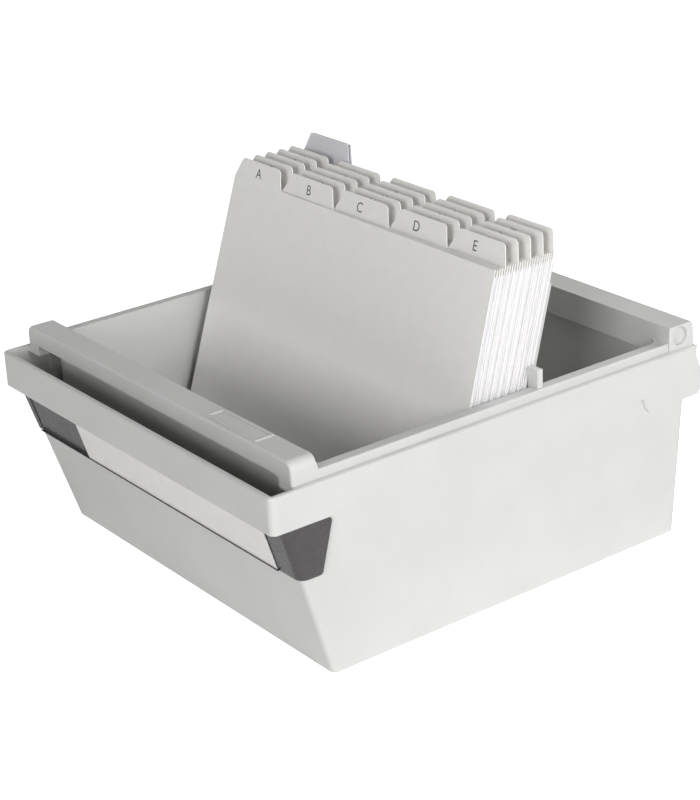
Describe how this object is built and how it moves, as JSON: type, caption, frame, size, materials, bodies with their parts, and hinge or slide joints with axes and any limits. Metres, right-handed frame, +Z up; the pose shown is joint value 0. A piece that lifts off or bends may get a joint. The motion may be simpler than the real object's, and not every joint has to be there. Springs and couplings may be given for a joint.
{
  "type": "index card box",
  "caption": "Open desk trough for landscape index cards, with a pack of tabbed alphabet dividers leaning on a sliding support plate, a grip bar and a front label holder.",
  "frame": {"origin": "centre of the whole trough's footprint, on the surface that it stands on", "axes": "+Z up, -Y to the front with the label and the grip, +X to the right as seen from the front"},
  "size_m": [0.2376, 0.262, 0.183],
  "materials": {
    "grey_moulding": "fine satin injection-moulded polystyrene, light grey",
    "smoked_strip": "smoke-tinted clear plastic strip",
    "label_paper": "uncoated label card",
    "grey_plate": "fine satin injection-moulded polystyrene, light grey",
    "clear_sheet": "clear folded plastic sheet",
    "insert_paper": "plain paper strip",
    "divider_board": "smooth off-white index board",
    "card_stock": "white card stock"
  },
  "bodies": {
    "trough": {"trough": "grey_moulding", "grip_bar": "grey_moulding", "label_holder": "smoked_strip"},
    "section_a": {"divider_a": "divider_board", "cards_a": "card_stock"},
    "section_b": {"divider_b": "divider_board", "cards_b": "card_stock"},
    "section_c": {"divider_c": "divider_board", "cards_c": "card_stock"},
    "section_d": {"divider_d": "divider_board", "cards_d": "card_stock"},
    "section_e": {"divider_e": "divider_board", "cards_e": "card_stock"},
    "section_f": {"divider_f": "divider_board", "cards_f": "card_stock"},
    "section_g": {"divider_g": "divider_board", "cards_g": "card_stock"},
    "section_h": {"divider_h": "divider_board", "cards_h": "card_stock"},
    "section_i": {"divider_i": "divider_board", "cards_i": "card_stock"},
    "section_j": {"divider_j": "divider_board", "cards_j": "card_stock"},
    "section_k": {"divider_k": "divider_board", "cards_k": "card_stock"},
    "section_l": {"divider_l": "divider_board", "cards_l": "card_stock"},
    "section_m": {"divider_m": "divider_board", "cards_m": "card_stock"},
    "section_n": {"divider_n": "divider_board", "cards_n": "card_stock"},
    "section_o": {"divider_o": "divider_board", "cards_o": "card_stock"},
    "section_p": {"divider_p": "divider_board", "cards_p": "card_stock"},
    "section_q": {"divider_q": "divider_board", "cards_q": "card_stock"},
    "section_r": {"divider_r": "divider_board", "cards_r": "card_stock"},
    "section_s": {"divider_s": "divider_board", "cards_s": "card_stock"},
    "section_t": {"divider_t": "divider_board", "cards_t": "card_stock"},
    "section_u": {"divider_u": "divider_board", "cards_u": "card_stock"},
    "section_v": {"divider_v": "divider_board", "cards_v": "card_stock"},
    "section_w": {"divider_w": "divider_board", "cards_w": "card_stock"},
    "section_xy": {"divider_xy": "divider_board", "cards_xy": "card_stock"},
    "section_z": {"divider_z": "divider_board", "cards_z": "card_stock"},
    "support_plate": {"support_plate": "grey_plate", "plate_ear_right": "grey_plate", "plate_ear_left": "grey_plate"},
    "tab_holder": {"tab_holder": "clear_sheet"},
    "tab_insert": {"tab_insert": "insert_paper"},
    "label": {"label_card": "label_paper"}
  },
  "joints": [
    {"name": "section_a_lift", "type": "slide", "parent": "trough", "child": "section_a", "axis": [0, 0.2639, 0.9646], "range_m": [0, 0.18]},
    {"name": "section_b_lift", "type": "slide", "parent": "trough", "child": "section_b", "axis": [0, 0.2639, 0.9646], "range_m": [0, 0.18]},
    {"name": "section_c_lift", "type": "slide", "parent": "trough", "child": "section_c", "axis": [0, 0.2639, 0.9646], "range_m": [0, 0.18]},
    {"name": "section_d_lift", "type": "slide", "parent": "trough", "child": "section_d", "axis": [0, 0.2639, 0.9646], "range_m": [0, 0.18]},
    {"name": "section_e_lift", "type": "slide", "parent": "trough", "child": "section_e", "axis": [0, 0.2639, 0.9646], "range_m": [0, 0.18]},
    {"name": "section_f_lift", "type": "slide", "parent": "trough", "child": "section_f", "axis": [0, 0.2639, 0.9646], "range_m": [0, 0.18]},
    {"name": "section_g_lift", "type": "slide", "parent": "trough", "child": "section_g", "axis": [0, 0.2639, 0.9646], "range_m": [0, 0.18]},
    {"name": "section_h_lift", "type": "slide", "parent": "trough", "child": "section_h", "axis": [0, 0.2639, 0.9646], "range_m": [0, 0.18]},
    {"name": "section_i_lift", "type": "slide", "parent": "trough", "child": "section_i", "axis": [0, 0.2639, 0.9646], "range_m": [0, 0.18]},
    {"name": "section_j_lift", "type": "slide", "parent": "trough", "child": "section_j", "axis": [0, 0.2639, 0.9646], "range_m": [0, 0.18]},
    {"name": "section_k_lift", "type": "slide", "parent": "trough", "child": "section_k", "axis": [0, 0.2639, 0.9646], "range_m": [0, 0.18]},
    {"name": "section_l_lift", "type": "slide", "parent": "trough", "child": "section_l", "axis": [0, 0.2639, 0.9646], "range_m": [0, 0.18]},
    {"name": "section_m_lift", "type": "slide", "parent": "trough", "child": "section_m", "axis": [0, 0.2639, 0.9646], "range_m": [0, 0.18]},
    {"name": "section_n_lift", "type": "slide", "parent": "trough", "child": "section_n", "axis": [0, 0.2639, 0.9646], "range_m": [0, 0.18]},
    {"name": "section_o_lift", "type": "slide", "parent": "trough", "child": "section_o", "axis": [0, 0.2639, 0.9646], "range_m": [0, 0.18]},
    {"name": "section_p_lift", "type": "slide", "parent": "trough", "child": "section_p", "axis": [0, 0.2639, 0.9646], "range_m": [0, 0.18]},
    {"name": "section_q_lift", "type": "slide", "parent": "trough", "child": "section_q", "axis": [0, 0.2639, 0.9646], "range_m": [0, 0.18]},
    {"name": "section_r_lift", "type": "slide", "parent": "trough", "child": "section_r", "axis": [0, 0.2639, 0.9646], "range_m": [0, 0.18]},
    {"name": "section_s_lift", "type": "slide", "parent": "trough", "child": "section_s", "axis": [0, 0.2639, 0.9646], "range_m": [0, 0.18]},
    {"name": "section_t_lift", "type": "slide", "parent": "trough", "child": "section_t", "axis": [0, 0.2639, 0.9646], "range_m": [0, 0.18]},
    {"name": "section_u_lift", "type": "slide", "parent": "trough", "child": "section_u", "axis": [0, 0.2639, 0.9646], "range_m": [0, 0.18]},
    {"name": "section_v_lift", "type": "slide", "parent": "trough", "child": "section_v", "axis": [0, 0.2639, 0.9646], "range_m": [0, 0.18]},
    {"name": "section_w_lift", "type": "slide", "parent": "trough", "child": "section_w", "axis": [0, 0.2639, 0.9646], "range_m": [0, 0.18]},
    {"name": "section_xy_lift", "type": "slide", "parent": "trough", "child": "section_xy", "axis": [0, 0.2639, 0.9646], "range_m": [0, 0.18]},
    {"name": "section_z_lift", "type": "slide", "parent": "trough", "child": "section_z", "axis": [0, 0.2639, 0.9646], "range_m": [0, 0.18]},
    {"name": "plate_slide", "type": "slide", "parent": "trough", "child": "support_plate", "axis": [0, 1, 0], "range_m": [0, 0.07]},
    {"name": "tab_holder_lift", "type": "slide", "parent": "support_plate", "child": "tab_holder", "axis": [0, 0.2639, 0.9646], "range_m": [0, 0.03]},
    {"name": "insert_slide", "type": "slide", "parent": "tab_holder", "child": "tab_insert", "axis": [1, 0, 0], "range_m": [-0.04, 0.04]},
    {"name": "label_slide", "type": "slide", "parent": "trough", "child": "label", "axis": [1, 0, 0], "range_m": [-0.045, 0.0025]}
  ]
}
